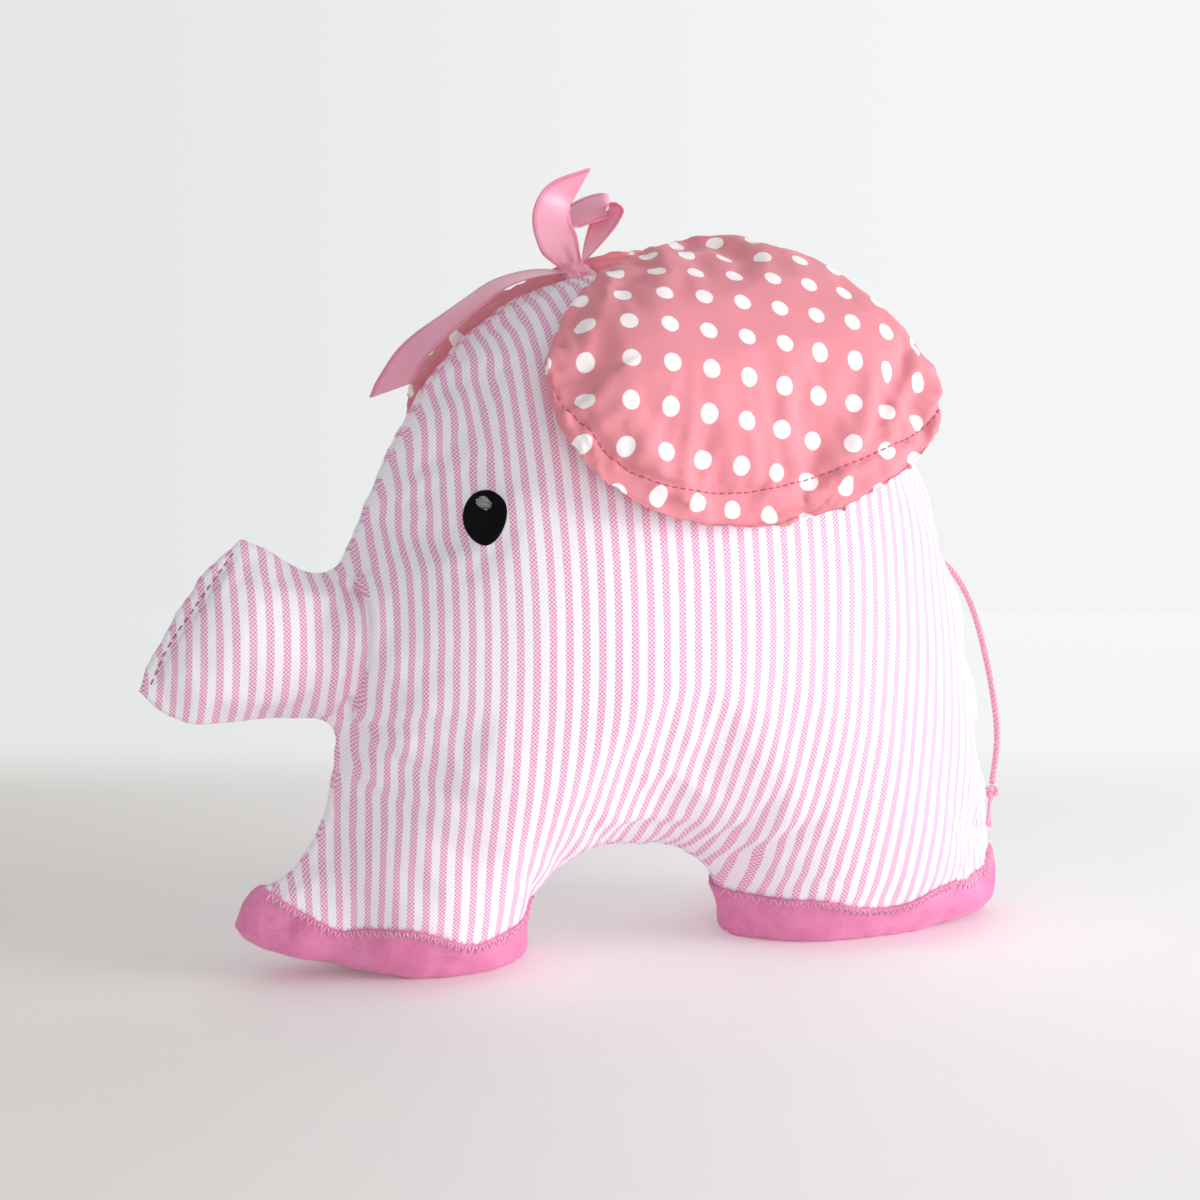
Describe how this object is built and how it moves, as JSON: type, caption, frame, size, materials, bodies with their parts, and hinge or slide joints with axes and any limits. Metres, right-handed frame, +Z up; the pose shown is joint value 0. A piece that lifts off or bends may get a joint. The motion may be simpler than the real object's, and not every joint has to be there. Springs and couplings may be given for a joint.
{
  "type": "stuffed toy elephant",
  "caption": "Hand-sewn stuffed elephant with striped cotton body, felt feet, padded dotted ears that lift, a cord tail and a satin ribbon on its head.",
  "frame": {"origin": "on the floor under the middle of the elephant, between its feet, in the plane of its body seam", "axes": "+Z up, -X towards the trunk, so +X is the tail end; -Y is the elephant's left side"},
  "size_m": [0.2742, 0.1368, 0.2297],
  "materials": {
    "striped_cotton": "woven, pink and white stripes",
    "pink_felt": "soft napped felt",
    "dotted_cotton": "woven, white dots on coral",
    "stuffing": "loose polyester fibre",
    "black_felt": "felt",
    "silver_thread": "grey thread",
    "pink_satin": "satin",
    "pink_cord": "twisted cord"
  },
  "bodies": {
    "body": {"left_side_panel": "striped_cotton", "right_side_panel": "striped_cotton", "body_stuffing": "stuffing", "left_front_foot": "pink_felt", "right_front_foot": "pink_felt", "left_hind_foot": "pink_felt", "right_hind_foot": "pink_felt", "left_eye": "black_felt", "right_eye": "black_felt", "left_eye_highlight": "silver_thread", "right_eye_highlight": "silver_thread", "ribbon_knot": "pink_satin", "ribbon_loop": "pink_satin", "ribbon_up_tail": "pink_satin"},
    "trunk": {"left_trunk_panel": "striped_cotton", "right_trunk_panel": "striped_cotton", "trunk_stuffing": "stuffing"},
    "left_ear": {"left_ear_outer_panel": "dotted_cotton", "left_ear_inner_panel": "dotted_cotton", "left_ear_batting": "stuffing"},
    "right_ear": {"right_ear_outer_panel": "dotted_cotton", "right_ear_inner_panel": "dotted_cotton", "right_ear_batting": "stuffing"},
    "front_ribbon": {"ribbon_front_tail": "pink_satin"},
    "tail": {"tail_cord": "pink_cord", "tail_knot": "pink_cord"}
  },
  "joints": [
    {"name": "trunk_lift", "type": "hinge", "parent": "body", "child": "trunk", "pos_m": [-0.079, 0, 0.113], "axis": [0, 1, 0], "range_deg": [0, 12]},
    {"name": "left_ear_lift", "type": "hinge", "parent": "body", "child": "left_ear", "pos_m": [0.025, -0.0144, 0.2096], "axis": [-1, 0, 0], "range_deg": [0, 75]},
    {"name": "right_ear_lift", "type": "hinge", "parent": "body", "child": "right_ear", "pos_m": [0.025, 0.0144, 0.2096], "axis": [1, 0, 0], "range_deg": [0, 75]},
    {"name": "ribbon_lift", "type": "hinge", "parent": "body", "child": "front_ribbon", "pos_m": [-0.012, 0, 0.2005], "axis": [0, 1, 0], "range_deg": [0, 40]},
    {"name": "tail_swing", "type": "hinge", "parent": "body", "child": "tail", "pos_m": [0.1166, 0, 0.1134], "axis": [0, -1, 0], "range_deg": [0, 80]}
  ]
}
